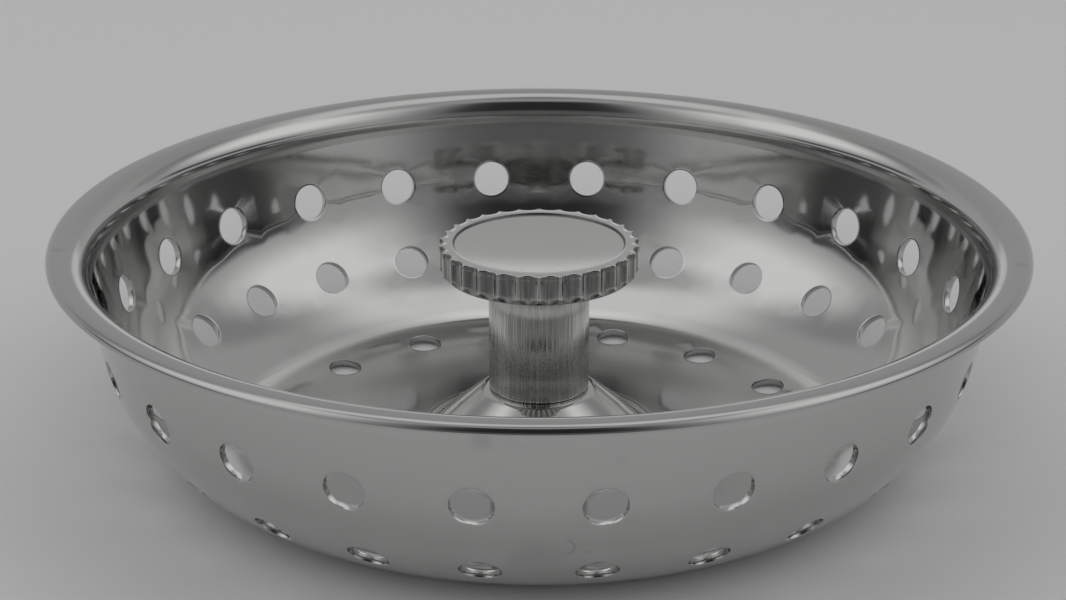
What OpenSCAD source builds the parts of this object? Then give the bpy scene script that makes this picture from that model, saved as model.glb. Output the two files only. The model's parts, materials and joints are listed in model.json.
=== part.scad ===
// Sink strainer: a perforated pressed basket with a rolled rim, and a grip of post and knob that
// turns in a boss at its centre. Origin at the centre of the bottom, +Z up, millimetres.

/* [Basket] */
// Outer diameter of the straight land under the rim, which drops into the drain
throat_d = 76.2; // [66:0.2:90]
// Height of that land
throat_h = 0.6; // [0.4:0.1:4]
// Width of the rim outside the land
rim_w = 2.9; // [2.2:0.1:8]
// Slope of the wall under the land, in degrees out from upright
wall_draft = 12; // [4:0.5:18]
// Height from the surface it stands on to the top of the rim
bowl_h = 20.3; // [19.5:0.1:28]
// Outer radius of the big bend between wall and bottom
bend_r = 15.2; // [12:0.1:16.5]
// Thickness of the basket's sheet
sheet_t = 0.6; // [0.4:0.05:0.8]
// Radius under the rim where the land flares out, as far as the rim keeps a flat
flare_r = 1.6; // [0.2:0.1:2]
// Inside radius of the rim's rolled edge
roll_r = 0.15; // [0.1:0.05:0.5]

/* [Perforation] */
// Number of holes in the row under the wall
wall_holes = 24; // [16:1:30]
// Diameter of the holes under the wall
wall_hole_d = 3.4; // [2:0.1:4]
// Direction of that row from the bend's centre, in degrees below level
wall_row_down = 12; // [10:0.2:14]
// Turn of that row about the axis in degrees
wall_row_turn = 7.5; // [0:0.5:15]
// Number of holes in the middle row
bend_holes = 24; // [12:1:30]
// Diameter of the holes in the middle row
bend_hole_d = 3.3; // [2:0.1:4]
// Direction of the middle row from the bend's centre, in degrees below level
bend_row_down = 42; // [34:0.5:50]
// Turn of the middle row about the axis in degrees
bend_row_turn = 7.5; // [0:0.5:20]
// Number of holes in the row at the bottom
floor_holes = 16; // [10:1:20]
// Diameter of the holes at the bottom
floor_hole_d = 3; // [2:0.1:4]
// Direction of the bottom row from the bend's centre, in degrees below level
floor_row_down = 84; // [72:0.5:88]
// Turn of the bottom row about the axis in degrees
floor_row_turn = 5; // [0:0.5:22]

/* [Boss and collar] */
// Height of the boss pressed up in the bottom
boss_h = 4.6; // [4.6:0.1:5.4]
// Slope of boss and collar in degrees
cone_angle = 39; // [30:1:44]
// Inside radius of the small bends pressed in boss and collar
press_r = 0.5; // [0.3:0.1:1]
// Width of the collar's flat lip, outside its slope
collar_lip_w = 0.5; // [0.4:0.1:3]
// Thickness of the collar's sheet
collar_t = 0.6; // [0.4:0.05:0.8]
// Width of the ledge that the collar leaves round the post
collar_ledge = 0.45; // [0.3:0.05:0.8]
// Gap between collar and boss, square to the slope
collar_gap = 0.35; // [0.3:0.05:0.5]
// Gap between the collar's edge and the bowl's inside
collar_lift = 0.3; // [0.2:0.05:0.6]

/* [Post] */
// Outer diameter of the post
post_d = 8.6; // [8:0.1:11]
// Length of the post between collar and knob ring
post_l = 10.1; // [9:0.1:18]
// Chamfer at the post's two ends
post_chamfer = 0.15; // [0.05:0.05:0.3]
// Thickness of the ring under the knob
ring_t = 0.5; // [0.3:0.1:1]

/* [Knob] */
// Diameter of the knob over the crests of its edge
knob_d = 17; // [15:0.5:20]
// Thickness of the knob
knob_t = 2.6; // [2.2:0.1:4]
// Chamfer at the knob's lower edge, which takes the crests off there
knob_chamfer = 0.4; // [0.1:0.05:0.6]
// Number of scallops in the knob's edge
flutes = 30; // [26:1:34]
// Radius of each scallop
flute_r = 1.15; // [1.1:0.05:1.6]
// Width of the crest left between two scallops
crest_w = 0.14; // [0.1:0.02:0.3]
// Width of the flat land between scallops and dish
land_w = 0.8; // [0.4:0.1:2]
// Depth of the dish
dish_depth = 0.45; // [0.2:0.05:0.6]
// Length of the threaded hub under the knob
hub_l = 4; // [3:0.5:6]
// Depth of the threaded hole inside the knob itself
thread_in_knob = 0.9; // [0.5:0.1:1.1]

/* [Pivot and fastening] */
// Wall of the bush's spigot and of the knob's hub round the screw
bush_wall = 0.5; // [0.3:0.05:0.8]
// Width of the shoulder on the bush that carries the collar
shoulder_w = 0.4; // [0.2:0.05:0.6]
// Length of the spigot inside the post
spigot_l = 2; // [1:0.5:3]
// Thickness of the two nylon glide washers
glide_t = 0.4; // [0.3:0.05:0.5]
// Width of the boss's flat top left bare round the glide washers
glide_inset = 0.1; // [0:0.05:0.4]
// Thickness of the flat washer
washer_t = 0.5; // [0.4:0.1:0.6]
// Gap between flat washer and boss, square to the slope
washer_gap = 0.33; // [0.2:0.01:0.6]
// Thickness of the split lock washer
lock_t = 0.7; // [0.5:0.1:0.8]
// Outer diameter of the split lock washer
lock_d = 7.2; // [6.4:0.1:8.6]
// Width of the slit in the lock washer
lock_slit = 0.8; // [0.4:0.1:1.2]
// Diameter of the centre screw
screw_d = 4; // [3.4:0.1:4.4]
// Diameter of the screw's head
head_d = 7.6; // [7:0.1:8]
// Height of the screw's head
head_h = 1.6; // [1.3:0.1:1.7]
// Width across the flats of the screw's hexagon socket
socket_af = 2.5; // [2:0.1:3]
// Depth of the screw's hexagon socket
socket_depth = 1; // [0.6:0.1:1.1]
// Gap between the screw's tip and the end of its hole
tip_gap = 0.4; // [0.2:0.1:0.5]
// Radial clearance where the bush turns
running_clearance = 0.05; // [0.02:0.01:0.1]
// Radial clearance of parts that only locate each other
seat_clearance = 0.05; // [0.02:0.01:0.1]
// Radial clearance of the screw in bush and washers
screw_clearance = 0.1; // [0.05:0.01:0.15]
// Up and down play of the grip in the basket
thrust_play = 0.1; // [0.05:0.01:0.15]

/* [Hidden] */
$fn = 120;
hole_fn = 48;
arc_steps = 8;
bend_steps = 20;
cut = 1;
least_flat = 0.3;

polished = [0.72, 0.72, 0.70];
turned = [0.62, 0.62, 0.60];
plated = [0.55, 0.56, 0.58];
nylon = [0.90, 0.89, 0.84];

half_turn = tan(cone_angle / 2);

// Levels and places along the basket's sheet, on its outer face
rim_under = bowl_h - sheet_t;
rim_flare_r = min(flare_r, rim_w - sheet_t - roll_r - least_flat);
land_z = rim_under - rim_flare_r - throat_h;
slope_z = bend_r * (1 - sin(wall_draft));
bend_centre = [throat_d / 2 - (land_z - slope_z) * tan(wall_draft) - bend_r * cos(wall_draft),
    bend_r];

// Radii that sit in one another, from the screw out to the basket's centre hole
screw_bore_r = screw_d / 2 + screw_clearance;
spigot_r = screw_bore_r + bush_wall;
seat_r = spigot_r + seat_clearance;
bush_r = spigot_r + shoulder_w;
bore_r = bush_r + running_clearance;

// Levels of the stack, from the boss up and from the boss down
collar_under = boss_h + glide_t;
collar_top = collar_under + collar_t;
collar_lip_z = sheet_t + collar_lift + collar_t;
ring_z = collar_top + post_l;
knob_z = ring_z + ring_t;
lower_glide_z = boss_h - sheet_t - thrust_play - glide_t;
washer_z = lower_glide_z - washer_t;
lock_z = washer_z - lock_t;
hole_top = knob_z + thread_in_knob;

// Corners where the flat tops of collar and boss would meet their slopes
collar_corner = post_d / 2 + collar_ledge;
boss_corner = collar_corner - collar_t * half_turn + glide_t / tan(cone_angle)
    - collar_gap / sin(cone_angle);
collar_r = collar_corner + (collar_top - collar_lip_z) / tan(cone_angle) + press_r * half_turn
    + collar_lip_w;

// Washers under the boss: its flat ends at flat_r, and its slope starts at under_corner
flat_r = boss_corner - (sheet_t + press_r) * half_turn;
under_corner = boss_corner - sheet_t * half_turn;
glide_r = flat_r - glide_inset;
washer_r = under_corner + (glide_t + thrust_play) / tan(cone_angle) - washer_gap / sin(cone_angle);

// Scallops that leave a crest of the stated width between each two
crest_r = knob_d / 2;
scallop_half_angle = 180 / flutes - asin(crest_w / knob_d);
scallop_half_chord = crest_r * sin(scallop_half_angle);
scallop_centre_r = crest_r * cos(scallop_half_angle)
    + sqrt(flute_r * flute_r - scallop_half_chord * scallop_half_chord);
dish_r = scallop_centre_r - flute_r - land_w;
dish_sphere_r = (dish_r * dish_r + dish_depth * dish_depth) / (2 * dish_depth);

function along(angle) = [cos(angle), sin(angle)];

// Points round an arc, from one direction to another
function arc(centre, r, from, to, steps = arc_steps) =
    [for (i = [0 : steps]) centre + r * along(from + (to - from) * i / steps)];

// A pressed cone has a flat top, a slope and a flat foot: its corners are on its upper face
function top_centre(corner, top_z, t) = [corner - (t + press_r) * half_turn, top_z - t - press_r];
function foot_centre(corner, top_z, foot_z) =
    [corner + (top_z - foot_z) / tan(cone_angle) + press_r * half_turn, foot_z + press_r];

// Lower face of such a cone, from its hole outwards
function cone_under(hole_r, corner, top_z, foot_z, t) = concat(
    [[hole_r, top_z - t]],
    arc(top_centre(corner, top_z, t), press_r, 90, 90 - cone_angle),
    arc(foot_centre(corner, top_z, foot_z), press_r + t, 270 - cone_angle, 270)
);

// Upper face of such a cone, inwards to its hole
function cone_over(hole_r, corner, top_z, foot_z, t) = concat(
    arc(foot_centre(corner, top_z, foot_z), press_r, 270, 270 - cone_angle),
    arc(top_centre(corner, top_z, t), press_r + t, 90 - cone_angle, 90),
    [[hole_r, top_z]]
);

// The whole sheet in one outline: under face outwards to the rolled edge, upper face back
module basket_section() {
    flare_centre = [throat_d / 2 + rim_flare_r, rim_under - rim_flare_r];
    roll_centre = [throat_d / 2 + rim_w - sheet_t - roll_r, rim_under - roll_r];
    polygon(concat(
        cone_under(bore_r, boss_corner, boss_h, sheet_t, sheet_t),
        arc(bend_centre, bend_r, 270, 360 - wall_draft, bend_steps),
        [[throat_d / 2, land_z]],
        arc(flare_centre, rim_flare_r, 180, 90),
        arc(roll_centre, roll_r, 90, 0),
        arc(roll_centre, roll_r + sheet_t, 0, 90),
        arc(flare_centre, rim_flare_r + sheet_t, 90, 180),
        [[throat_d / 2 - sheet_t, land_z + sheet_t * tan(wall_draft / 2)]],
        arc(bend_centre, bend_r - sheet_t, 360 - wall_draft, 270, bend_steps),
        cone_over(bore_r, boss_corner, boss_h, sheet_t, sheet_t)
    ));
}

// One row of holes, each square to the sheet at its place round the big bend
module hole_row(count, d, down, turn) {
    for (i = [0 : count - 1])
        rotate(turn + i * 360 / count)
            translate([bend_centre.x, 0, bend_centre.y])
                rotate([0, 90 + down, 0])
                    translate([0, 0, bend_r - sheet_t - cut])
                        cylinder(h = sheet_t + 2 * cut, d = d, $fn = hole_fn);
}

module tube(z, length, outer_r, inner_r) {
    translate([0, 0, z])
        difference() {
            cylinder(h = length, r = outer_r);
            translate([0, 0, -cut])
                cylinder(h = length + 2 * cut, r = inner_r);
        }
}

module basket_bowl() {
    color(polished)
        difference() {
            rotate_extrude()
                basket_section();
            hole_row(wall_holes, wall_hole_d, wall_row_down, wall_row_turn);
            hole_row(bend_holes, bend_hole_d, bend_row_down, bend_row_turn);
            hole_row(floor_holes, floor_hole_d, floor_row_down, floor_row_turn);
        }
}

module foot_collar() {
    color(polished)
        rotate_extrude()
            polygon(concat(
                cone_under(seat_r, collar_corner, collar_top, collar_lip_z, collar_t),
                [[collar_r, collar_lip_z - collar_t], [collar_r, collar_lip_z]],
                cone_over(seat_r, collar_corner, collar_top, collar_lip_z, collar_t)
            ));
}

module post_sleeve() {
    outer_r = post_d / 2;
    color(turned)
        translate([0, 0, collar_top])
            rotate_extrude()
                polygon([[seat_r, 0], [outer_r - post_chamfer, 0], [outer_r, post_chamfer],
                    [outer_r, post_l - post_chamfer], [outer_r - post_chamfer, post_l],
                    [seat_r, post_l]]);
}

module knob_ring() {
    color(polished)
        tube(ring_z, ring_t, post_d / 2, seat_r);
}

module knob_blank() {
    translate([0, 0, knob_z])
        difference() {
            union() {
                cylinder(h = knob_chamfer, r1 = crest_r - knob_chamfer, r2 = crest_r);
                translate([0, 0, knob_chamfer])
                    cylinder(h = knob_t - knob_chamfer, r = crest_r);
            }
            translate([0, 0, knob_t - dish_depth + dish_sphere_r])
                sphere(dish_sphere_r, $fn = 200);
        }
    translate([0, 0, knob_z - hub_l])
        cylinder(h = hub_l + cut, r = spigot_r);
}

module scallop_cuts() {
    for (i = [0 : flutes - 1])
        rotate((i + 0.5) * 360 / flutes)
            translate([scallop_centre_r, 0, knob_z - cut])
                cylinder(h = knob_t + 2 * cut, r = flute_r, $fn = hole_fn);
}

module knob() {
    color(turned)
        difference() {
            knob_blank();
            scallop_cuts();
            translate([0, 0, knob_z - hub_l - cut])
                cylinder(h = hub_l + cut + thread_in_knob, r = screw_d / 2);
        }
}

module pivot_bush() {
    barrel_z = washer_z + washer_t;
    color(turned)
        difference() {
            union() {
                translate([0, 0, barrel_z])
                    cylinder(h = collar_under - barrel_z, r = bush_r);
                translate([0, 0, collar_under - cut])
                    cylinder(h = collar_t + spigot_l + cut, r = spigot_r);
            }
            translate([0, 0, barrel_z - cut])
                cylinder(h = collar_top + spigot_l - barrel_z + 2 * cut, r = screw_bore_r);
        }
}

module upper_glide_washer() {
    color(nylon)
        tube(boss_h, glide_t, glide_r, bore_r);
}

module lower_glide_washer() {
    color(nylon)
        tube(lower_glide_z, glide_t, glide_r, bore_r);
}

module flat_washer() {
    color(plated)
        tube(washer_z, washer_t, washer_r, screw_bore_r);
}

module lock_washer() {
    color(plated)
        difference() {
            tube(lock_z, lock_t, lock_d / 2, screw_bore_r);
            translate([0, -lock_slit / 2, lock_z - cut])
                cube([lock_d, lock_slit, lock_t + 2 * cut]);
        }
}

module centre_screw() {
    edge = head_h / 3;
    tip_z = hole_top - tip_gap;
    tip_chamfer = screw_d / 8;
    shank_r = screw_d / 2;
    color(plated)
        difference() {
            rotate_extrude()
                polygon([[0, lock_z - head_h], [head_d / 2 - edge, lock_z - head_h],
                    [head_d / 2, lock_z - head_h + edge], [head_d / 2, lock_z], [shank_r, lock_z],
                    [shank_r, tip_z - tip_chamfer], [shank_r - tip_chamfer, tip_z], [0, tip_z]]);
            translate([0, 0, lock_z - head_h - cut])
                cylinder(h = socket_depth + cut, d = socket_af / cos(30), $fn = 6);
        }
}

basket_bowl();
foot_collar();
post_sleeve();
knob_ring();
knob();
pivot_bush();
upper_glide_washer();
lower_glide_washer();
flat_washer();
lock_washer();
centre_screw();
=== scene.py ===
import json
import math

import bmesh
import bpy
from bpy.props import (
    FloatProperty,
    FloatVectorProperty,
    IntProperty,
    IntVectorProperty,
    PointerProperty,
)
from mathutils import Matrix, Vector


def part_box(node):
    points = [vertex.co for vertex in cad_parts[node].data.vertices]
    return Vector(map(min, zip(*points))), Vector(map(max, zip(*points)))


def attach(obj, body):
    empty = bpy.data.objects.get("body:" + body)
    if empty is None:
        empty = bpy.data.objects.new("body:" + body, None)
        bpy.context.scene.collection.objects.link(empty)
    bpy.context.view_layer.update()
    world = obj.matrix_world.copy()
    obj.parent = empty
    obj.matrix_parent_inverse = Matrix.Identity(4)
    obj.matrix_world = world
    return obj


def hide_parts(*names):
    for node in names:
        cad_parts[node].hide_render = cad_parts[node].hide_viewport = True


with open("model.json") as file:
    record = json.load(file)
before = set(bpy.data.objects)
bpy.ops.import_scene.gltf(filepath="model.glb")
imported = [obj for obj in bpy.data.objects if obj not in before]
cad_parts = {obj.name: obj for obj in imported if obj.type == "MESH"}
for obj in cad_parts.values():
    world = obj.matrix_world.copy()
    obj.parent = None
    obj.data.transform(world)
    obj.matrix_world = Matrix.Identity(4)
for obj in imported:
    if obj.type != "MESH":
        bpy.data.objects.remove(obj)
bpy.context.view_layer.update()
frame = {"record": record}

bl_info = {
    "name": "Sink strainer",
    "version": (1, 0, 0),
    "blender": (4, 5, 0),
    "location": "3D View > Sidebar > Strainer",
    "description": "Builds a perforated sink strainer with a scalloped knob, and its studio",
    "category": "Add Mesh",
}

MM = 0.001
FULL_TURN = 2 * math.pi
QUARTER = math.pi / 2
HIDDEN_FLOOR_GAP = 0.02 * MM

# Faces round the post and collar, and round the smaller turned pieces
FINE_ROUND = 192
SMALL_ROUND = 128

# Faint marks left on the basket by handling: where each lies and how far it reaches, in mm
HANDLING_MARKS = (
    ((-4.0, -37.8, 17.9), 1.3), ((5.7, -37.0, 16.3), 0.8), ((3.6, -35.0, 7.7), 0.5),
    ((-39.4, -6.2, 20.2), 0.9), ((38.8, -9.4, 20.2), 0.8),
)
# Centre of the faint arc beside them
ARC_MARK = (1.6, -35.3, 8.4)


def foot(node):
    """Level of the underside of a CAD node."""
    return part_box(node)[0].z


def top(node):
    """Level of the top of a CAD node."""
    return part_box(node)[1].z


def reach(node):
    """Largest radius of a CAD node that is centred on the Z axis."""
    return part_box(node)[1].y


def mount_radius(name):
    """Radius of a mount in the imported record."""
    found = [m for m in frame["record"]["mounts"] if m["name"] == name]
    return found[0]["dims"]["r_mm"] * MM


def length(name, description, default):
    """A length in metres that the user can change."""
    return FloatProperty(
        name=name, description=description, default=default, min=0.0, unit="LENGTH", precision=5
    )


def angle(name, description, degrees):
    """An angle that the user can change."""
    return FloatProperty(
        name=name, description=description, default=math.radians(degrees), unit="ROTATION"
    )


def colour(name, description, default):
    """A colour that the user can change."""
    return FloatVectorProperty(
        name=name, description=description, default=default, size=3, min=0.0, max=1.0,
        subtype="COLOR",
    )


class StrainerBasketSizes(bpy.types.PropertyGroup):
    """Sizes of the pressed basket and of the collar at its centre."""

    rim_radius: length("Rim radius", "Outer radius of the rolled rim", reach("basket_bowl"))
    height: length("Height", "From the ground to the top of the rim", top("basket_bowl"))
    land_radius: length("Land radius", "Outer radius under the rim", mount_radius("drain_throat"))
    land_height: length("Land height", "Height of the straight land under the rim", 0.6 * MM)
    draft: angle("Draft", "Slope of the wall under the land, out from upright", 12)
    sheet: length("Sheet", "Thickness of the basket's sheet", 0.6 * MM)
    bend_radius: length("Bend radius", "Outer radius of the bend at the bottom", 15.2 * MM)
    flare_radius: length("Flare radius", "Radius under the rim at the land", 1.6 * MM)
    roll_radius: length("Roll radius", "Inside radius of the rolled edge", 0.15 * MM)
    boss_height: length("Boss height", "Height of the boss in the bottom", 4.6 * MM)
    boss_corner: length("Boss corner", "Radius where boss top and slope would meet", 4.475 * MM)
    bore_radius: length("Centre hole", "Radius of the hole in the boss", 3.05 * MM)
    cone_angle: angle("Cone angle", "Slope of boss and collar", 39)
    press_radius: length("Press radius", "Inside radius of the small pressed bends", 0.5 * MM)
    collar_sheet: length("Collar sheet", "Thickness of the collar's sheet", 0.6 * MM)
    collar_corner: length("Collar corner", "Radius where its top and slope would meet", 4.75 * MM)
    collar_lip: length("Collar lip", "Level of the top of the collar's flat lip", 1.5 * MM)
    edge: length("Edge rounding", "Rounding of the punched edges", 0.09 * MM)
    columns: IntProperty(name="Columns", description="Faces round the basket", default=288)
    hole_counts: IntVectorProperty(
        name="Holes", description="Number of holes in each row, from the top", size=3,
        default=(24, 24, 16),
    )
    hole_widths: FloatVectorProperty(
        name="Hole diameters", description="Diameter of the holes in each row", size=3,
        default=(3.4 * MM, 3.3 * MM, 3.0 * MM), unit="LENGTH", precision=5,
    )
    hole_downs: FloatVectorProperty(
        name="Hole places", description="Direction of each row from the bend's centre, below level",
        size=3, default=[math.radians(a) for a in (12, 42, 84)], unit="ROTATION",
    )
    hole_turns: FloatVectorProperty(
        name="Hole turns", description="Turn of each row about the axis", size=3,
        default=[math.radians(a) for a in (7.5, 7.5, 5)], unit="ROTATION",
    )


class StrainerGripSizes(bpy.types.PropertyGroup):
    """Sizes of the post, the knob and what fastens them."""

    post_radius: length("Post radius", "Outer radius of the post", reach("post_sleeve"))
    bore_radius: length("Post bore", "Inner radius of the post and its ring", 2.65 * MM)
    post_chamfer: length("Post chamfer", "Chamfer at the ends of the post", 0.15 * MM)
    knob_radius: length("Knob radius", "Radius over the knob's crests", 8.5 * MM)
    flutes: IntProperty(name="Scallops", description="Scallops in the knob's edge", default=30)
    flute_radius: length("Scallop radius", "Radius of each scallop", 1.15 * MM)
    crest: length("Crest", "Width of the crest between two scallops", 0.14 * MM)
    land: length("Land", "Width between scallops and dish", 0.8 * MM)
    dish_depth: length("Dish depth", "Depth of the dish in the knob's top", 0.45 * MM)
    dish_step: length("Dish step", "Depth of the small step round the dish", 0.18 * MM)
    edge: length("Edge rounding", "Rounding of the turned edges", 0.11 * MM)
    chamfer: length("Knob chamfer", "Chamfer at the knob's lower edge", 0.4 * MM)
    hub_radius: length("Hub radius", "Outer radius of the knob's hub", 2.6 * MM)
    hub_length: length("Hub length", "Length of the hub under the knob", 4 * MM)
    screw_radius: length("Screw radius", "Radius of the screw's shank", 2 * MM)
    screw_bore: length("Screw hole", "Radius of the hole that the screw passes", 2.1 * MM)
    thread_depth: length("Thread depth", "Depth of the threaded hole inside the knob", 0.9 * MM)
    socket_flats: length("Socket", "Width across the flats of the hexagon socket", 2.5 * MM)
    socket_depth: length("Socket depth", "Depth of the hexagon socket", 1 * MM)
    lock_slit: length("Slit", "Width of the slit in the lock washer", 0.8 * MM)


class StrainerFinishes(bpy.types.PropertyGroup):
    """Colours of the metals, the nylon and the ground."""

    polished: colour("Polished sheet", "Reflection of the pressed sheet", (0.555, 0.555, 0.548))
    turned: colour("Turned steel", "Reflection of the post and knob", (0.61, 0.61, 0.60))
    plain: colour("Plain steel", "Reflection of the fasteners", (0.50, 0.50, 0.50))
    nylon: colour("Nylon", "Colour of the glide washers", (0.80, 0.78, 0.70))
    ground: colour("Ground", "Colour of the pale floor", (0.71, 0.71, 0.71))


class StrainerStudio(bpy.types.PropertyGroup):
    """Where the camera stands and how bright the studio is."""

    distance: length("Distance", "From the camera to the middle of the rim", 202.4 * MM)
    elevation: angle("Elevation", "Height of the camera over the rim", 19.8)
    tilt: angle("Tilt", "How far below the middle of the rim the camera looks", 1.795)
    pan: angle("Pan", "How far to the left of the middle of the rim the camera looks", 0.155)
    lens: FloatProperty(name="Lens", description="Focal length in mm", default=81.05)
    brightness: FloatProperty(
        name="Brightness", description="Strength of the studio's walls and light boxes",
        default=1.08,
    )
    fill: FloatProperty(
        name="Fill", description="Power of the floor's soft lamp in watts", default=4.8
    )


class Shade:
    """One socket of a node tree. Sums on it add Math nodes, and node() adds any other node."""

    def __init__(self, tree, socket=None):
        self.tree = tree
        self.socket = socket

    def node(self, kind, settings=None, sockets=None, output=0):
        """Adds a node: first its settings, then the values or links of its sockets."""
        made = self.tree.nodes.new("ShaderNode" + kind)
        for name, value in (settings or {}).items():
            setattr(made, name, value)
        for name, value in (sockets or {}).items():
            if isinstance(value, Shade):
                self.tree.links.new(value.socket, made.inputs[name])
            else:
                made.inputs[name].default_value = value
        return Shade(self.tree, made.outputs[output] if made.outputs else None)

    def math(self, operation, *others):
        """A Math node on this value and any others."""
        return self.node("Math", {"operation": operation}, dict(enumerate((self, *others))))

    def __add__(self, other):
        return self.math("ADD", other)

    def __sub__(self, other):
        return self.math("SUBTRACT", other)

    def __mul__(self, other):
        return self.math("MULTIPLY", other)

    def __truediv__(self, other):
        return self.math("DIVIDE", other)

    def __rsub__(self, other):
        return self.node("Math", {"operation": "SUBTRACT"}, {0: other, 1: self})

    def __rtruediv__(self, other):
        return self.node("Math", {"operation": "DIVIDE"}, {0: other, 1: self})

    __radd__ = __add__
    __rmul__ = __mul__

    def span(self, low, high, to_low=0.0, to_high=1.0):
        """Runs from to_low to to_high, softly, while the value runs from low to high."""
        return self.node(
            "MapRange", {"interpolation_type": "SMOOTHSTEP"},
            {"Value": self, "From Min": low, "From Max": high, "To Min": to_low, "To Max": to_high},
        )

    def band(self, low, low_full, high_full, high):
        """Rises from 0 to 1, stays there and falls to 0 again, softly."""
        return self.span(low, low_full) * (1.0 - self.span(high_full, high))

    def tint(self, at_zero, at_one):
        """Goes from one colour to another with the value."""
        sides = [c if isinstance(c, Shade) else (*c, 1.0) for c in (at_zero, at_one)]
        return self.node(
            "Mix", {"data_type": "RGBA"}, {0: self, 6: sides[0], 7: sides[1]}, output=2
        )

    def joined(self, x, y, z):
        """A vector from three values."""
        return self.node("CombineXYZ", None, {0: x, 1: y, 2: z})

    def parts(self):
        """The three values of a vector."""
        split = self.node("SeparateXYZ", None, {0: self})
        return [Shade(self.tree, value) for value in split.socket.node.outputs]

    def noise(self, place, scale, detail=2.0, roughness=0.5):
        """Smooth noise round 0.5 at a place, with a number of grains per metre."""
        return self.node(
            "TexNoise", None,
            {"Vector": place, "Scale": scale, "Detail": detail, "Roughness": roughness},
        )


class Finish:
    """A material under way: its nodes, its object coordinates and the direction round the axis."""

    def __init__(self, name):
        self.made = bpy.data.materials.new(name)
        self.made.use_nodes = True
        self.made.node_tree.nodes.clear()
        self.tree = Shade(self.made.node_tree)
        self.place = self.tree.node("TexCoord", output="Object")
        self.x, self.y, self.z = self.place.parts()
        self.reach = (self.x * self.x + self.y * self.y).math("SQRT")
        never_zero = self.reach + 1e-6
        self.round_x, self.round_y = self.x / never_zero, self.y / never_zero

    def near(self, spot):
        """Distance from a spot that is given in millimetres."""
        spot = [c * MM for c in spot]
        return self.tree.node(
            "VectorMath", {"operation": "DISTANCE"}, {0: self.place, 1: spot}, output="Value"
        )

    def close(self, base, roughness, height, depth, metallic=1.0, **constants):
        """Closes the material with its shader and a bump of the given depth."""
        bump = self.tree.node("Bump", None, {"Height": height, "Distance": depth, "Strength": 1.0})
        shader = self.tree.node("BsdfPrincipled", None, {
            "Base Color": base, "Roughness": roughness, "Metallic": metallic, "Normal": bump,
            **constants,
        })
        self.tree.node("OutputMaterial", None, {"Surface": shader})


def polished_steel(name, tone):
    """Pressed and polished sheet: fine rings left by polishing, faint smudges from handling."""
    m = Finish(name)
    t = m.tree
    rings = t.noise(t.joined(m.reach * 9.0, m.z * 9.0, m.round_x * 0.05), 900, 3.0, 0.7)
    sway = t.noise(m.place, 140, 1.0)
    smudge = t.noise(m.place, 95, 3.0, 0.6).span(0.56, 0.74)
    fine = t.noise(m.place, 2600, 2.0, 0.6)

    # The rim with its flat painted a little darker as shade, the land under it, the satin bottom,
    # and the bottom painted darker as shade with a painted highlight ring round it
    # Painted shade: the rim's flat is painted a little darker to tone down its reflection
    flange = m.reach.span(37.9 * MM, 38.5 * MM)
    land = m.z.band(17.0 * MM, 17.4 * MM, 18.1 * MM, 18.5 * MM)
    satin = m.reach.band(12.5 * MM, 18.0 * MM, 21.0 * MM, 27.0 * MM)
    low = m.z.span(2.0 * MM, 3.0 * MM, 1.0, 0.0)
    # Painted shade: the bottom from near the collar out to the bend is painted darker, in place of
    # the shade and dark reflections it would hold
    painted_shade_bottom = m.reach.band(10.0 * MM, 13.0 * MM, 25.4 * MM, 27.0 * MM) * low
    # Painted highlight: a lighter ring round the bottom stands for the reflection of the rim's
    # highlight
    painted_highlight_ring = m.reach.band(25.7 * MM, 26.5 * MM, 26.9 * MM, 28.0 * MM) * low

    dark = smudge * 0.07 + flange * 0.14 + painted_shade_bottom * 0.28
    for spot, size in HANDLING_MARKS:
        dark = dark + m.near(spot).span(0.0, size * MM, 0.13, 0.0)
    arc = m.near(ARC_MARK).band(0.85 * MM, 1.0 * MM, 1.05 * MM, 1.2 * MM)
    dark = dark + arc * m.x.span(1.7 * MM, 2.3 * MM) * 0.16
    # The base colour carries the painted shade and painted highlight, together with the real
    # smudges and handling marks
    base = dark.tint((painted_highlight_ring * 0.6).tint(tone, (0.8, 0.8, 0.79)), (0.0, 0.0, 0.0))
    roughness = 0.055 + smudge * 0.06 + fine.span(0.4, 0.8) * 0.02 + satin * 0.11 + land * 0.16
    height = sway * 0.8 + rings * 0.02
    m.close(base, roughness, height, 0.02 * MM)


def turned_steel(name, tone):
    """Turned steel: upright streaks on the sides, fine rings on flat ends."""
    m = Finish(name)
    t = m.tree
    facing = t.node("NewGeometry", output="Normal").parts()[2].math("ABSOLUTE").span(0.6, 0.9)
    side = 1.0 - facing
    round_place = t.joined(m.round_x, m.round_y, m.z * 5.0)
    streaks = t.noise(round_place, 11, 2.0, 0.6)
    lines = t.noise(round_place, 42, 2.0, 0.7)
    rings = t.noise(t.joined(m.reach * 40.0, 0.0, 0.0), 180, 3.0, 0.7)

    # The post, the knob's scallop hollows painted darker as shade, and the step round its dish
    # painted near black as shade
    post = m.reach.span(4.6 * MM, 5.0 * MM, 1.0, 0.0)
    painted_shade_hollows = m.reach.band(7.8 * MM, 8.0 * MM, 8.38 * MM, 8.47 * MM)
    high = m.z.span(17.0 * MM, 18.0 * MM)
    step = m.reach.band(7.12 * MM, 7.20 * MM, 7.30 * MM, 7.34 * MM) * high

    height = side * (streaks + lines * 0.22) * (1.0 + post * 1.6) + rings * facing * 0.12
    # Painted shade: the scallop hollows are darkened, besides the grain of the turning lines
    dark = side * (lines.span(0.35, 0.65, 0.26, 0.0) + painted_shade_hollows * 0.62)
    dark = dark + side * post * streaks.span(0.42, 0.6, 0.2, 0.0)
    # Painted shade: the small step round the dish is painted near black, as the shadow it would
    # hold
    base = (step * 0.8).tint(dark.tint(tone, (0.2, 0.2, 0.2)), (0.01, 0.01, 0.01))
    roughness = 0.075 + facing * 0.05 + lines.span(0.4, 0.7) * 0.04 + side * post * 0.02
    m.close(base, roughness, height, 0.045 * MM)


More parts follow.
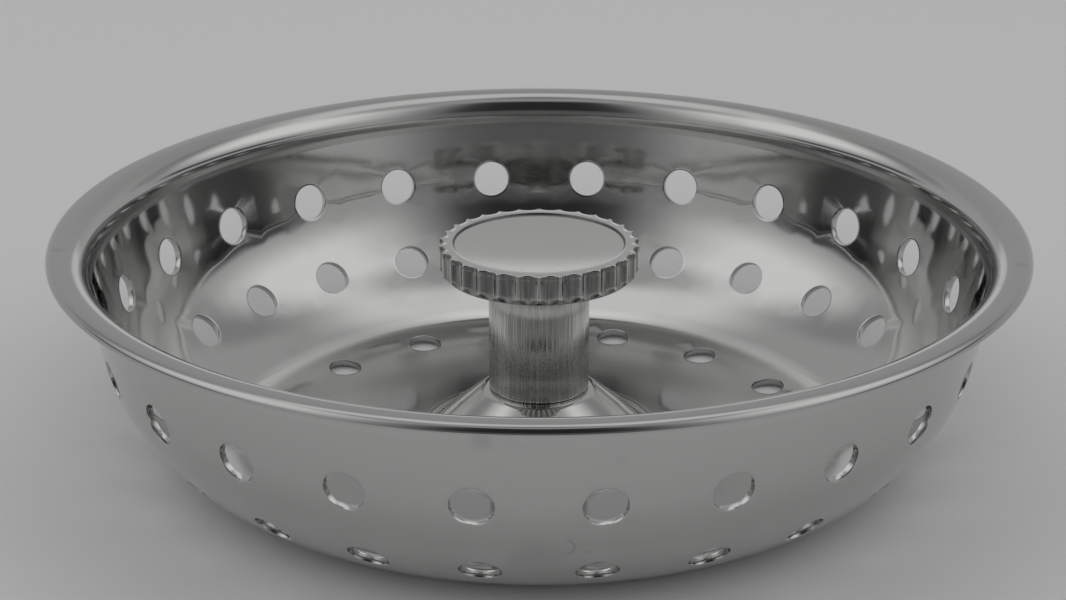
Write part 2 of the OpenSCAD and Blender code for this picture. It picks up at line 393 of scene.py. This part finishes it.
def plain_steel(name, tone):
    """Fasteners: dull steel with a fine grain."""
    m = Finish(name)
    t = m.tree
    grain = t.noise(m.place, 3200, 3.0, 0.6)
    cloud = t.noise(m.place, 420, 2.0)
    base = cloud.tint([c * 0.85 for c in tone], tone)
    m.close(base, 0.28 + grain * 0.12, grain, 0.004 * MM)


def moulded_nylon(name, tone):
    """Natural nylon: slightly uneven, with a fine grain."""
    m = Finish(name)
    t = m.tree
    grain = t.noise(m.place, 2400, 3.0, 0.6)
    base = grain.span(0.3, 0.7).tint([c * 0.92 for c in tone], tone)
    m.close(
        base, 0.45 + grain * 0.1, grain, 0.005 * MM, metallic=0.0,
        **{"Subsurface Weight": 0.15, "Subsurface Radius": (0.4 * MM, 0.4 * MM, 0.3 * MM)},
    )


class Section:
    """A line drawn in the XZ plane with bmesh operators, then spun round the Z axis."""

    def __init__(self, x, z):
        self.bm = bmesh.new()
        self.start = self.tip = self.bm.verts.new((x, 0.0, z))

    def line(self, x, z, steps=1):
        """Goes straight on to a point."""
        start, end = self.tip.co.copy(), Vector((x, 0.0, z))
        for i in range(steps):
            made = bmesh.ops.extrude_vert_indiv(self.bm, verts=[self.tip])
            self.tip = made["verts"][0]
            self.tip.co = start.lerp(end, (i + 1) / steps)
        return self

    def bend(self, x, z, turn, steps):
        """Goes on round a centre; the turn is positive from X to Z."""
        made = bmesh.ops.spin(
            self.bm, geom=[self.tip], cent=(x, 0.0, z), axis=(0.0, -1.0, 0.0), angle=turn,
            steps=steps, use_merge=False, use_duplicate=False,
        )
        self.tip = [v for v in made["geom_last"] if isinstance(v, bmesh.types.BMVert)][0]
        return self

    def close(self):
        """Joins the end of the line to its start."""
        self.bm.edges.new((self.tip, self.start))
        return self

    def spin(self, steps, turn=FULL_TURN):
        """Spins the line round the Z axis and closes it on itself after a full turn."""
        bmesh.ops.spin(
            self.bm, geom=self.bm.verts[:] + self.bm.edges[:], cent=(0.0, 0.0, 0.0),
            axis=(0.0, 0.0, 1.0), angle=turn, steps=steps, use_merge=turn == FULL_TURN,
            use_duplicate=False,
        )
        bmesh.ops.remove_doubles(self.bm, verts=self.bm.verts, dist=1e-7)
        bmesh.ops.recalc_face_normals(self.bm, faces=self.bm.faces)
        return self.bm


def ring_in(bm, face, place):
    """Adds a ring of faces inside a face's edge and moves the face's corners to their places."""
    bmesh.ops.inset_individual(bm, faces=[face], thickness=0.0, use_even_offset=False)
    for i, corner in enumerate(face.verts):
        corner.co = place(i)


def piece(name, bm, body, slot, material, *nodes):
    """Makes a finished bmesh a smooth piece that rides a body and replaces CAD nodes."""
    mesh = bpy.data.meshes.new(name)
    bm.to_mesh(mesh)
    bm.free()
    mesh.polygons.foreach_set("use_smooth", [True] * len(mesh.polygons))
    made = bpy.data.objects.new(name, mesh)
    bpy.context.scene.collection.objects.link(made)
    mesh.materials.append(bpy.data.materials[material])
    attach(made, body)
    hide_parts(*nodes)
    return made


def thicken(made, thickness):
    """Gives a surface the thickness of its sheet, on the side away from its normals."""
    solid = made.modifiers.new("Sheet", "SOLIDIFY")
    solid.thickness = thickness
    solid.offset = -1.0
    solid.use_even_offset = True
    solid.use_quality_normals = True


def round_edges(made, width):
    """Rounds a piece's sharp edges."""
    bevel = made.modifiers.new("Edges", "BEVEL")
    bevel.width = width
    bevel.segments = 2
    bevel.profile = 0.5
    bevel.limit_method = "ANGLE"
    bevel.angle_limit = math.radians(40)
    bevel.miter_outer = "MITER_ARC"
    keep_flat(made)


def keep_flat(made):
    """Keeps a smooth piece's large flat faces flat to the light."""
    weighted = made.modifiers.new("Normals", "WEIGHTED_NORMAL")
    weighted.weight = 70


def cone_section(line, sheet, press, slope, corner, level, foot_level, out_radius=None):
    """Draws one face of a pressed cone between its flat top and its flat foot.

    The corner is on the cone's upper face; press is the inside radius of both bends. With an
    outer radius the line follows the upper face outwards, and else the lower face inwards.
    """
    half = math.tan(slope / 2)
    foot_corner = corner + (level - foot_level) / math.tan(slope)
    top_x, top_z = corner - (sheet + press) * half, level - sheet - press
    foot_x, foot_z = foot_corner + press * half, foot_level + press
    bend_steps, slope_steps = 8, 6
    if out_radius is None:
        foot_bend, top_bend = press + sheet, press
        line.line(foot_x, foot_z - foot_bend, slope_steps)
        line.bend(foot_x, foot_z, -slope, bend_steps)
        line.line(
            top_x + top_bend * math.sin(slope), top_z + top_bend * math.cos(slope), slope_steps
        )
        line.bend(top_x, top_z, slope, bend_steps)
    else:
        foot_bend, top_bend = press, press + sheet
        line.line(top_x, top_z + top_bend, 2)
        line.bend(top_x, top_z, -slope, bend_steps)
        line.line(
            foot_x - foot_bend * math.sin(slope), foot_z - foot_bend * math.cos(slope), slope_steps
        )
        line.bend(foot_x, foot_z, slope, bend_steps)
        line.line(out_radius, foot_z - foot_bend, 3)


class STRAINER_OT_finishes(bpy.types.Operator):
    """Makes the materials of the strainer's metals and nylon"""

    bl_idname = "strainer.finishes"
    bl_label = "Finishes"

    def execute(self, context):
        tones = context.scene.strainer_finishes
        polished_steel("polished_sheet", list(tones.polished))
        turned_steel("turned_steel", list(tones.turned))
        plain_steel("plain_steel", list(tones.plain))
        moulded_nylon("moulded_nylon", list(tones.nylon))
        return {"FINISHED"}


class STRAINER_OT_basket(bpy.types.Operator):
    """Presses the perforated basket with its rolled rim and the boss in its bottom"""

    bl_idname = "strainer.basket"
    bl_label = "Basket"

    # A hole takes the place of a square block of faces, whose half length is measured along the
    # sheet; between the blocks a row of faces is at most as long as an open row
    BLOCK_ROWS = 8
    BLOCK_HALF = 2.4 * MM
    OPEN_ROW = 0.7 * MM

    def execute(self, context):
        sizes = context.scene.strainer_basket
        bm = self.pressed(sizes)
        self.punch(bm, sizes)
        made = piece("basket", bm, "basket", "basket_steel", "polished_sheet", "basket_bowl")
        thicken(made, sizes.sheet)
        round_edges(made, sizes.edge)
        return {"FINISHED"}

    def pressed(self, s):
        """The outer face of the sheet, from the lip of the rim in to the hole in the boss."""
        under = s.height - s.sheet
        roll_x = s.rim_radius - s.sheet - s.roll_radius
        flare_x = s.land_radius + s.flare_radius
        line = Section(roll_x + s.roll_radius, under - s.roll_radius)
        line.bend(roll_x, under - s.roll_radius, QUARTER, 6)
        line.line(flare_x, under, 2)
        line.bend(flare_x, under - s.flare_radius, QUARTER, 12)
        line.line(s.land_radius, self.land_level(s), 2)
        slope_end = s.bend_radius * (1 - math.sin(s.draft))
        done = (slope_end - self.land_level(s)) / math.cos(s.draft)
        for down in s.hole_downs:
            start = (down - s.draft) * s.bend_radius - self.BLOCK_HALF
            self.go_down(line, s, done, start, math.ceil((start - done) / self.OPEN_ROW))
            done = start + 2 * self.BLOCK_HALF
            self.go_down(line, s, start, done, self.BLOCK_ROWS)
        cone_section(
            line, s.sheet, s.press_radius, s.cone_angle, s.boss_corner, s.boss_height, s.sheet
        )
        line.line(s.bore_radius, s.boss_height - s.sheet, 2)
        bm = line.spin(s.columns)
        lowest = min(bm.faces, key=lambda f: f.calc_center_median().z)
        if lowest.normal.z > 0:
            bmesh.ops.reverse_faces(bm, faces=bm.faces)
        return bm

    @staticmethod
    def land_level(s):
        """Level where the straight land under the rim meets the sloping wall."""
        return s.height - s.sheet - s.flare_radius - s.land_height

    def bend_x(self, s):
        """Radius at which the centre of the big bend lies."""
        rise = self.land_level(s) - s.bend_radius * (1 - math.sin(s.draft))
        return s.land_radius - rise * math.tan(s.draft) - s.bend_radius * math.cos(s.draft)

    def place_at(self, s, length):
        """Radius and level at a length down the sheet from where the slope meets the bend."""
        bend_end = (QUARTER - s.draft) * s.bend_radius
        turn = s.draft + min(max(length, 0.0), bend_end) / s.bend_radius
        up, inwards = max(-length, 0.0), max(length - bend_end, 0.0)
        return (
            self.bend_x(s) - inwards + s.bend_radius * math.cos(turn) + up * math.sin(s.draft),
            s.bend_radius * (1 - math.sin(turn)) + up * math.cos(s.draft),
        )

    def length_at(self, s, co):
        """The same length for a point on the sheet."""
        out = math.hypot(co.x, co.y) - self.bend_x(s)
        if out < 0.0:
            return (QUARTER - s.draft) * s.bend_radius - out
        turn = math.atan2(s.bend_radius - co.z, out)
        if turn > s.draft:
            return (turn - s.draft) * s.bend_radius
        return (s.bend_radius - co.z) * math.cos(s.draft) - out * math.sin(s.draft)

    def go_down(self, line, s, start, end, steps):
        """Goes down the sheet in even steps: on the slope, round the bend and on the bottom."""
        step = (end - start) / steps
        for i in range(steps):
            line.line(*self.place_at(s, start + (i + 1) * step))

    def punch(self, bm, s):
        """Punches the three rows of holes: blocks of faces become a face, rings and a hole."""
        column = FULL_TURN / s.columns

        # The faces of each column below the land, each with its length down the sheet
        grid = {}
        for face in bm.faces:
            centre = face.calc_center_median()
            outer = math.hypot(centre.x, centre.y) > self.bend_x(s) - self.BLOCK_HALF
            if outer and centre.z < self.land_level(s):
                turn = math.atan2(centre.y, centre.x) % FULL_TURN
                grid.setdefault(int(turn / column), []).append((self.length_at(s, centre), face))

        rows = zip(s.hole_counts, s.hole_widths, s.hole_downs, s.hole_turns)
        for count, width, down, first in rows:
            row = (down - s.draft) * s.bend_radius
            for hole in range(count):
                turn = first + hole * FULL_TURN / count
                middle = round(turn / column)
                columns = range(middle - self.BLOCK_ROWS // 2, middle + self.BLOCK_ROWS // 2)
                block = [
                    face
                    for i in columns
                    for place, face in grid[i % s.columns]
                    if abs(place - row) < self.BLOCK_HALF
                ]
                if len(block) != self.BLOCK_ROWS ** 2:
                    raise RuntimeError("a hole doesn't fall on the basket's grid of faces")
                made = bmesh.ops.dissolve_faces(bm, faces=block, use_verts=False)["region"][0]
                self.punch_hole(bm, made, s, width / 2, row, middle * column)

    def punch_hole(self, bm, face, s, radius, row, turn):
        """Rings lead from the block's square edge to the round hole, which is left open."""
        half_turn = self.BLOCK_ROWS / 2 * FULL_TURN / s.columns
        ways = []
        for corner in face.verts:
            co = corner.co
            along = (self.length_at(s, co) - row) / self.BLOCK_HALF
            offset = (math.atan2(co.y, co.x) - turn + math.pi) % FULL_TURN - math.pi
            ways.append(self.square_to_circle(offset / half_turn, along))

        def on_ring(ring):
            def place(i):
                x, y = ring * math.cos(ways[i]), ring * math.sin(ways[i])
                if row + y > 0:
                    y = s.bend_radius * math.asin(y / s.bend_radius)
                out, level = self.place_at(s, row + y)
                way = turn + math.asin(x / out)
                return Vector((out * math.cos(way), out * math.sin(way), level))
            return place

        room_for_rounding = 2.5 * s.edge
        ring_in(bm, face, on_ring(radius + room_for_rounding))
        ring_in(bm, face, on_ring(radius))
        bmesh.ops.delete(bm, geom=[face], context="FACES_ONLY")

    @staticmethod
    def square_to_circle(across, along):
        """Direction for a point on the edge of a square, so that even steps stay even."""
        if abs(across) >= abs(along):
            return QUARTER / 2 * along / across + (0.0 if across > 0 else math.pi)
        return QUARTER - QUARTER / 2 * across / along + (0.0 if along > 0 else math.pi)


class STRAINER_OT_collar(bpy.types.Operator):
    """Presses the conical collar round the foot of the post"""

    bl_idname = "strainer.collar"
    bl_label = "Foot collar"

    def execute(self, context):
        s = context.scene.strainer_basket
        bore = context.scene.strainer_grip.bore_radius
        line = Section(bore, top("foot_collar"))
        cone_section(
            line, s.collar_sheet, s.press_radius, s.cone_angle, s.collar_corner,
            top("foot_collar"), s.collar_lip, reach("foot_collar"),
        )
        bm = line.spin(FINE_ROUND)
        highest = max(bm.faces, key=lambda f: f.calc_center_median().z)
        if highest.normal.z < 0:
            bmesh.ops.reverse_faces(bm, faces=bm.faces)
        made = piece("collar", bm, "grip", "collar_steel", "polished_sheet", "foot_collar")
        thicken(made, s.collar_sheet)
        round_edges(made, 0.12 * MM)
        return {"FINISHED"}


def tube_section(outer, inner, low, high, chamfer):
    """Outline of a ring with chamfered outer edges."""
    line = Section(inner, low).line(outer - chamfer, low)
    line.line(outer, low + chamfer).line(outer, high - chamfer, 4).line(outer - chamfer, high)
    return line.line(inner, high).close()


class STRAINER_OT_post(bpy.types.Operator):
    """Turns the post and the thin ring under the knob"""

    bl_idname = "strainer.post"
    bl_label = "Post"

    def execute(self, context):
        s = context.scene.strainer_grip
        bm = tube_section(
            s.post_radius, s.bore_radius, foot("post_sleeve"), top("post_sleeve"), s.post_chamfer
        ).spin(FINE_ROUND)
        made = piece("post", bm, "grip", "post_steel", "turned_steel", "post_sleeve")
        round_edges(made, 0.05 * MM)
        bm = tube_section(
            s.post_radius, s.bore_radius, foot("knob_ring"), top("knob_ring"), 0.08 * MM
        ).spin(FINE_ROUND)
        made = piece("ring_under_knob", bm, "grip", "post_steel", "polished_sheet", "knob_ring")
        round_edges(made, 0.04 * MM)
        return {"FINISHED"}


class STRAINER_OT_knob(bpy.types.Operator):
    """Turns the knob with its scalloped edge, dished top and threaded hub"""

    bl_idname = "strainer.knob"
    bl_label = "Knob"

    # Rings of faces across the dish, as shares of its radius
    DISH_RINGS = (0.986, 0.98, 0.96, 0.93, 0.9, 0.8, 0.7, 0.6, 0.5, 0.4, 0.3, 0.2, 0.1)

    def execute(self, context):
        s = context.scene.strainer_grip
        low, high = top("knob_ring"), top("knob")
        half_angle = math.pi / s.flutes - math.asin(s.crest / 2 / s.knob_radius)
        half_chord = s.knob_radius * math.sin(half_angle)
        back_from_crests = math.sqrt(s.flute_radius ** 2 - half_chord ** 2)
        centre = s.knob_radius * math.cos(half_angle) + back_from_crests
        dish = centre - s.flute_radius - s.land
        bm, face, outline = self.scalloped(s, half_angle, half_chord, centre, low)
        e, step = s.edge, s.dish_step

        def ring(inset, level):
            return lambda i: outline[i] * (1 - inset / outline[i].length) + Vector((0, 0, level))

        def circle(radius, level):
            return lambda i: outline[i].normalized() * radius + Vector((0, 0, level))

        # Lower chamfer, side and rounded upper edge
        for share, shift in ((0.5, 0.0), (1.0, -0.06 * MM), (1.0, 0.04 * MM)):
            ring_in(bm, face, self.chamfer_ring(s, outline, low, share, shift))
        for i in range(1, 5):
            ring_in(bm, face, ring(0, low + e + (high - low - 2 * e) * i / 4))
        for inset, level in ((0.3 * e, high - 0.3 * e), (e, high)):
            ring_in(bm, face, ring(inset, level))

        # Land, small step and dish, which is part of a sphere
        for radius, level in (
            (dish + 0.35 * s.land, high), (dish + 0.3 * e, high),
            (dish, high - 0.1 * step), (dish - 0.1 * step, high - 0.25 * step),
        ):
            ring_in(bm, face, circle(radius, level))
        sphere = (dish ** 2 + s.dish_depth ** 2) / (2 * s.dish_depth)
        for share in self.DISH_RINGS:
            radius = dish * share
            level = high - s.dish_depth + sphere - math.sqrt(sphere ** 2 - radius ** 2)
            ring_in(bm, face, circle(radius, level - step))
        bmesh.ops.poke(bm, faces=[face], offset=0.0)
        self.hub(bm, s, low)
        bmesh.ops.recalc_face_normals(bm, faces=bm.faces)
        made = piece("knob_turned", bm, "grip", "knob_steel", "turned_steel", "knob")
        keep_flat(made)
        return {"FINISHED"}

    @staticmethod
    def chamfer_ring(s, outline, low, share, shift):
        """Corners at a share of the way up the lower chamfer, shifted up or down from there."""
        def place(i):
            rise = max(outline[i].length - s.knob_radius + s.chamfer, 0.01 * MM)
            up = share * rise + max(shift, -0.3 * rise)
            out = s.knob_radius - s.chamfer + min(up, rise)
            return outline[i].normalized() * out + Vector((0, 0, low + up))
        return place

    def scalloped(self, s, half_angle, half_chord, centre, low):
        """The knob's outline, its lower face, and each corner's place on the outline."""
        bm = bmesh.new()
        start = bm.verts.new((s.knob_radius * math.cos(half_angle), half_chord, 0.0))
        sweep = 2 * math.asin(half_chord / s.flute_radius)
        bmesh.ops.spin(
            bm, geom=[start], cent=(centre, 0.0, 0.0), axis=(0.0, 0.0, 1.0), angle=sweep,
            steps=12, use_merge=False, use_duplicate=False,
        )
        bmesh.ops.spin(
            bm, geom=bm.verts[:] + bm.edges[:], cent=(0.0, 0.0, 0.0), axis=(0.0, 0.0, 1.0),
            angle=FULL_TURN, steps=s.flutes, use_merge=False, use_duplicate=True,
        )
        bmesh.ops.remove_doubles(bm, verts=bm.verts, dist=1e-7)
        ends = sorted(
            (v for v in bm.verts if len(v.link_edges) == 1),
            key=lambda v: math.atan2(v.co.y, v.co.x),
        )
        for i in range(len(ends)):
            pair = ends[i - 1], ends[i]
            if (pair[0].co - pair[1].co).length < 2 * s.crest:
                bm.edges.new(pair)
        crests = [v for v in bm.verts if v.co.length > s.knob_radius * 0.9999]
        bmesh.ops.bevel(
            bm, geom=crests, offset=0.3 * s.crest, segments=2, profile=0.5, affect="VERTICES",
            material=-1,
        )
        face = bmesh.ops.edgeloop_fill(bm, edges=bm.edges)["faces"][0]
        outline = [v.co.copy() for v in face.verts]
        for v in bm.verts:
            v.co = v.co.normalized() * (s.knob_radius - s.chamfer) + Vector((0, 0, low))
        return bm, face, outline

    def hub(self, bm, s, low):
        """The flat underside, the hub and its hole, from the open lower edge inwards."""
        edges = [e for e in bm.edges if e.is_boundary]
        face = bmesh.ops.edgeloop_fill(bm, edges=edges)["faces"][0]
        ways = [Vector((v.co.x, v.co.y, 0.0)).normalized() for v in face.verts]
        end, roof = low - s.hub_length, low + s.thread_depth
        stops = (
            (s.hub_radius, low), (s.hub_radius, end + s.edge), (s.hub_radius - s.edge, end),
            (s.screw_radius + s.edge, end), (s.screw_radius, end + s.edge), (s.screw_radius, roof),
        )
        for radius, level in stops:
            ring_in(bm, face, lambda i: ways[i] * radius + Vector((0, 0, level)))


class STRAINER_OT_fasteners(bpy.types.Operator):
    """Makes the bush, the nylon rings, the washers and the screw that hold the grip"""

    bl_idname = "strainer.fasteners"
    bl_label = "Fasteners"

    def execute(self, context):
        s = context.scene.strainer_grip
        bore = context.scene.strainer_basket.bore_radius
        for name, node in (
            ("glide_ring_upper", "upper_glide_washer"), ("glide_ring_lower", "lower_glide_washer"),
        ):
            body = "basket" if node == "upper_glide_washer" else "grip"
            bm = tube_section(reach(node), bore, foot(node), top(node), 0.06 * MM).spin(SMALL_ROUND)
            made = piece(name, bm, body, "nylon", "moulded_nylon", node)
            round_edges(made, 0.04 * MM)
        bm = tube_section(
            reach("flat_washer"), s.screw_bore, foot("flat_washer"), top("flat_washer"), 0.1 * MM
        ).spin(SMALL_ROUND)
        made = piece("washer_flat", bm, "grip", "fastener_steel", "plain_steel", "flat_washer")
        round_edges(made, 0.05 * MM)
        self.lock_washer(s)
        self.screw(s)
        self.bush(s)
        return {"FINISHED"}

    def lock_washer(self, s):
        """A flat ring cut through at one side."""
        low, high = foot("lock_washer"), top("lock_washer")
        outer = reach("lock_washer")
        line = Section(s.screw_bore, low).line(outer, low)
        line.line(outer, high).line(s.screw_bore, high)
        gap = 2 * math.asin(s.lock_slit / 2 / outer)
        bm = line.close().spin(120, FULL_TURN - gap)
        turn = Matrix.Rotation(gap / 2, 3, "Z")
        bmesh.ops.rotate(bm, verts=bm.verts, cent=(0, 0, 0), matrix=turn)
        bmesh.ops.holes_fill(bm, edges=[e for e in bm.edges if e.is_boundary], sides=4)
        bmesh.ops.recalc_face_normals(bm, faces=bm.faces)
        made = piece("washer_lock", bm, "grip", "fastener_steel", "plain_steel", "lock_washer")
        round_edges(made, 0.06 * MM)

    def screw(self, s):
        """A low head with a hexagon socket, and its shank."""
        low, seat, tip = foot("centre_screw"), foot("lock_washer"), top("centre_screw")
        head = reach("centre_screw")
        head_chamfer, tip_chamfer = (seat - low) / 3, s.screw_radius / 4
        hexagon = s.socket_flats / 2
        round_socket = hexagon / math.cos(math.pi / 6) + 0.15 * MM
        line = Section(round_socket, low).line(head - head_chamfer, low, 3)
        line.line(head, low + head_chamfer).line(head, seat, 2).line(s.screw_radius, seat)
        line.line(s.screw_radius, tip - tip_chamfer, 2)
        line.line(s.screw_radius - tip_chamfer, tip).line(0.0, tip)
        bm = line.spin(96)
        edges = [e for e in bm.edges if e.is_boundary]
        face = bmesh.ops.edgeloop_fill(bm, edges=edges)["faces"][0]
        ways = [Vector((v.co.x, v.co.y, 0.0)).normalized() for v in face.verts]

        def flats(size, level):
            def place(i):
                way = math.atan2(ways[i].y, ways[i].x)
                off = (way + math.pi / 6) % (math.pi / 3) - math.pi / 6
                return ways[i] * size / math.cos(off) + Vector((0, 0, level))
            return place

        bevel = 0.06 * MM
        for size, level in (
            (hexagon + bevel, low), (hexagon, low + bevel), (hexagon, low + s.socket_depth),
        ):
            ring_in(bm, face, flats(size, level))
        bmesh.ops.poke(bm, faces=[face], offset=0.0)
        bmesh.ops.recalc_face_normals(bm, faces=bm.faces)
        made = piece("screw", bm, "grip", "fastener_steel", "plain_steel", "centre_screw")
        round_edges(made, 0.05 * MM)

    def bush(self, s):
        """The stepped bush: its barrel turns in the basket, its spigot holds the post."""
        low, high = foot("pivot_bush"), top("pivot_bush")
        shoulder = top("upper_glide_washer")
        outer = reach("pivot_bush")
        line = Section(s.screw_bore, low).line(outer, low).line(outer, shoulder)
        line.line(s.hub_radius, shoulder).line(s.hub_radius, high).line(s.screw_bore, high)
        bm = line.close().spin(SMALL_ROUND)
        made = piece("bush", bm, "grip", "post_steel", "turned_steel", "pivot_bush")
        round_edges(made, 0.04 * MM)


class STRAINER_OT_stage(bpy.types.Operator):
    """Sets up the pale floor, the soft studio light and the camera"""

    bl_idname = "strainer.stage"
    bl_label = "Stage"

    def execute(self, context):
        self.floor(context)
        self.sky(context)
        self.lamp(context)
        self.camera(context)
        context.scene.view_settings.view_transform = "Standard"
        return {"FINISHED"}

    def floor(self, context):
        """A wide pale floor that can be looked through from below."""
        bm = bmesh.new()
        bmesh.ops.create_grid(bm, x_segments=1, y_segments=1, size=4.0)
        bmesh.ops.translate(bm, verts=bm.verts, vec=(0.0, 0.0, -HIDDEN_FLOOR_GAP))
        mesh = bpy.data.meshes.new("floor")
        bm.to_mesh(mesh)
        bm.free()
        made = bpy.data.objects.new("floor", mesh)
        context.scene.collection.objects.link(made)
        m = Finish("pale_floor")
        t = m.tree
        tone = list(context.scene.strainer_finishes.ground)
        cloud = t.noise(m.place, 6.0, 2.0)
        base = cloud.tint([c * 0.985 for c in tone], tone)
        matt = t.node("BsdfPrincipled", None, {"Base Color": base, "Roughness": 0.75})
        clear = t.node("BsdfTransparent")

        # Clear from below, and for light that has already come through it
        from_below = t.node("NewGeometry", output="Backfacing")
        already_through = t.node("LightPath", output="Transparent Depth")
        see_through = (from_below + already_through).math("MINIMUM", 1.0)
        both = t.node("MixShader", None, {0: see_through, 1: matt, 2: clear})
        t.node("OutputMaterial", None, {"Surface": both})
        mesh.materials.append(m.made)

    def sky(self, context):
        """The studio's walls and roof: a light box on each side, dark behind the camera."""
        world = bpy.data.worlds.new("studio")
        context.scene.world = world
        world.use_nodes = True
        world.node_tree.nodes.clear()
        t = Shade(world.node_tree)
        x, y, z = t.node("TexCoord", output="Generated").parts()

        # Height over the horizon and direction round from the back, in degrees
        degrees = 180 / math.pi
        rise = z.math("ARCSINE") * degrees
        around = x.math("ABSOLUTE").math("ARCTAN2", y) * degrees

        boxes = rise.band(11.0, 34.0, 50.0, 67.0) * around.band(52.0, 84.0, 106.0, 150.0)
        under_boxes = rise.band(5.5, 8.5, 11.0, 15.5) * around.band(56.0, 70.0, 100.0, 120.0)
        before_boxes = rise.band(12.0, 24.0, 40.0, 54.0) * around.band(38.0, 50.0, 55.0, 68.0)
        canopy = rise.band(50.0, 65.0, 78.0, 89.0) * (1.0 - around.span(60.0, 110.0))
        far_wall = rise.band(3.0, 5.0, 11.0, 15.0) * (1.0 - around.span(7.0, 16.0))
        near_wall = around.span(130.0, 158.0) * 0.24 + around.span(150.0, 170.0) * 0.05
        near_wall = near_wall * (1.0 - rise.span(61.0, 75.0))
        over_camera = rise.band(14.0, 26.0, 66.0, 76.0) * around.span(146.0, 160.0)
        overhead = rise.span(76.0, 89.0)

        tone = 0.41 + boxes * 0.47 - under_boxes * 0.33 - before_boxes * 0.11 + canopy * 0.39
        tone = tone + far_wall * 0.24 - near_wall - over_camera * 0.09 - overhead * 0.14
        tone = tone.math("MAXIMUM", 0.02) * context.scene.strainer_studio.brightness

        # The camera sees an even backdrop in place of the walls
        seen = t.node("LightPath", output="Is Camera Ray")
        shown = tone * (1.0 - seen) + seen * 0.46
        light = t.node("Background", None, {"Color": (1.0, 1.0, 1.0, 1.0), "Strength": shown})
        t.node("OutputWorld", None, {"Surface": light})

    def lamp(self, context):
        """One wide soft lamp over the camera for the floor; it doesn't show in the steel."""
        lamp = bpy.data.lights.new("fill", "AREA")
        lamp.shape = "DISK"
        lamp.size = 1.0
        lamp.energy = context.scene.strainer_studio.fill
        near, high = 1.2, 0.95
        made = bpy.data.objects.new("fill", lamp)
        made.location = (0.0, -near, high)
        made.rotation_euler = (math.atan2(near, high), 0.0, 0.0)
        made.visible_camera = False
        made.visible_glossy = False
        context.scene.collection.objects.link(made)

    def camera(self, context):
        """The camera of the photograph."""
        studio = context.scene.strainer_studio
        rim_z = context.scene.strainer_basket.height
        lens = bpy.data.cameras.new("camera")
        lens.lens = studio.lens
        lens.sensor_width = 36.0
        lens.clip_start = 0.01
        made = bpy.data.objects.new("camera", lens)
        up, near = math.sin(studio.elevation), math.cos(studio.elevation)
        made.location = (0.0, -studio.distance * near, rim_z + studio.distance * up)
        look = math.pi / 2 - studio.elevation - studio.tilt
        made.rotation_euler = (look, 0.0, studio.pan)
        context.scene.collection.objects.link(made)
        context.scene.camera = made


class STRAINER_PT_panel(bpy.types.Panel):
    """Lists the strainer's pieces, sizes and finishes"""

    bl_idname = "STRAINER_PT_panel"
    bl_label = "Sink strainer"
    bl_space_type = "VIEW_3D"
    bl_region_type = "UI"
    bl_category = "Strainer"

    def draw(self, context):
        for operator in OPERATORS:
            self.layout.operator(operator.bl_idname)
        for group in GROUPS:
            values = getattr(context.scene, group)
            for name in values.__annotations__:
                self.layout.prop(values, name)


GROUPS = {
    "strainer_basket": StrainerBasketSizes,
    "strainer_grip": StrainerGripSizes,
    "strainer_finishes": StrainerFinishes,
    "strainer_studio": StrainerStudio,
}
OPERATORS = (
    STRAINER_OT_finishes,
    STRAINER_OT_basket,
    STRAINER_OT_collar,
    STRAINER_OT_post,
    STRAINER_OT_knob,
    STRAINER_OT_fasteners,
    STRAINER_OT_stage,
)


def register():
    for made in (*GROUPS.values(), *OPERATORS, STRAINER_PT_panel):
        bpy.utils.register_class(made)
    for name, group in GROUPS.items():
        setattr(bpy.types.Scene, name, PointerProperty(type=group))


def unregister():
    for name in GROUPS:
        delattr(bpy.types.Scene, name)
    for made in (STRAINER_PT_panel, *reversed(OPERATORS), *reversed(GROUPS.values())):
        bpy.utils.unregister_class(made)


def main():
    register()
    for step in ("finishes", "basket", "collar", "post", "knob", "fasteners", "stage"):
        getattr(bpy.ops.strainer, step)()


if __name__ == "__main__":
    main()
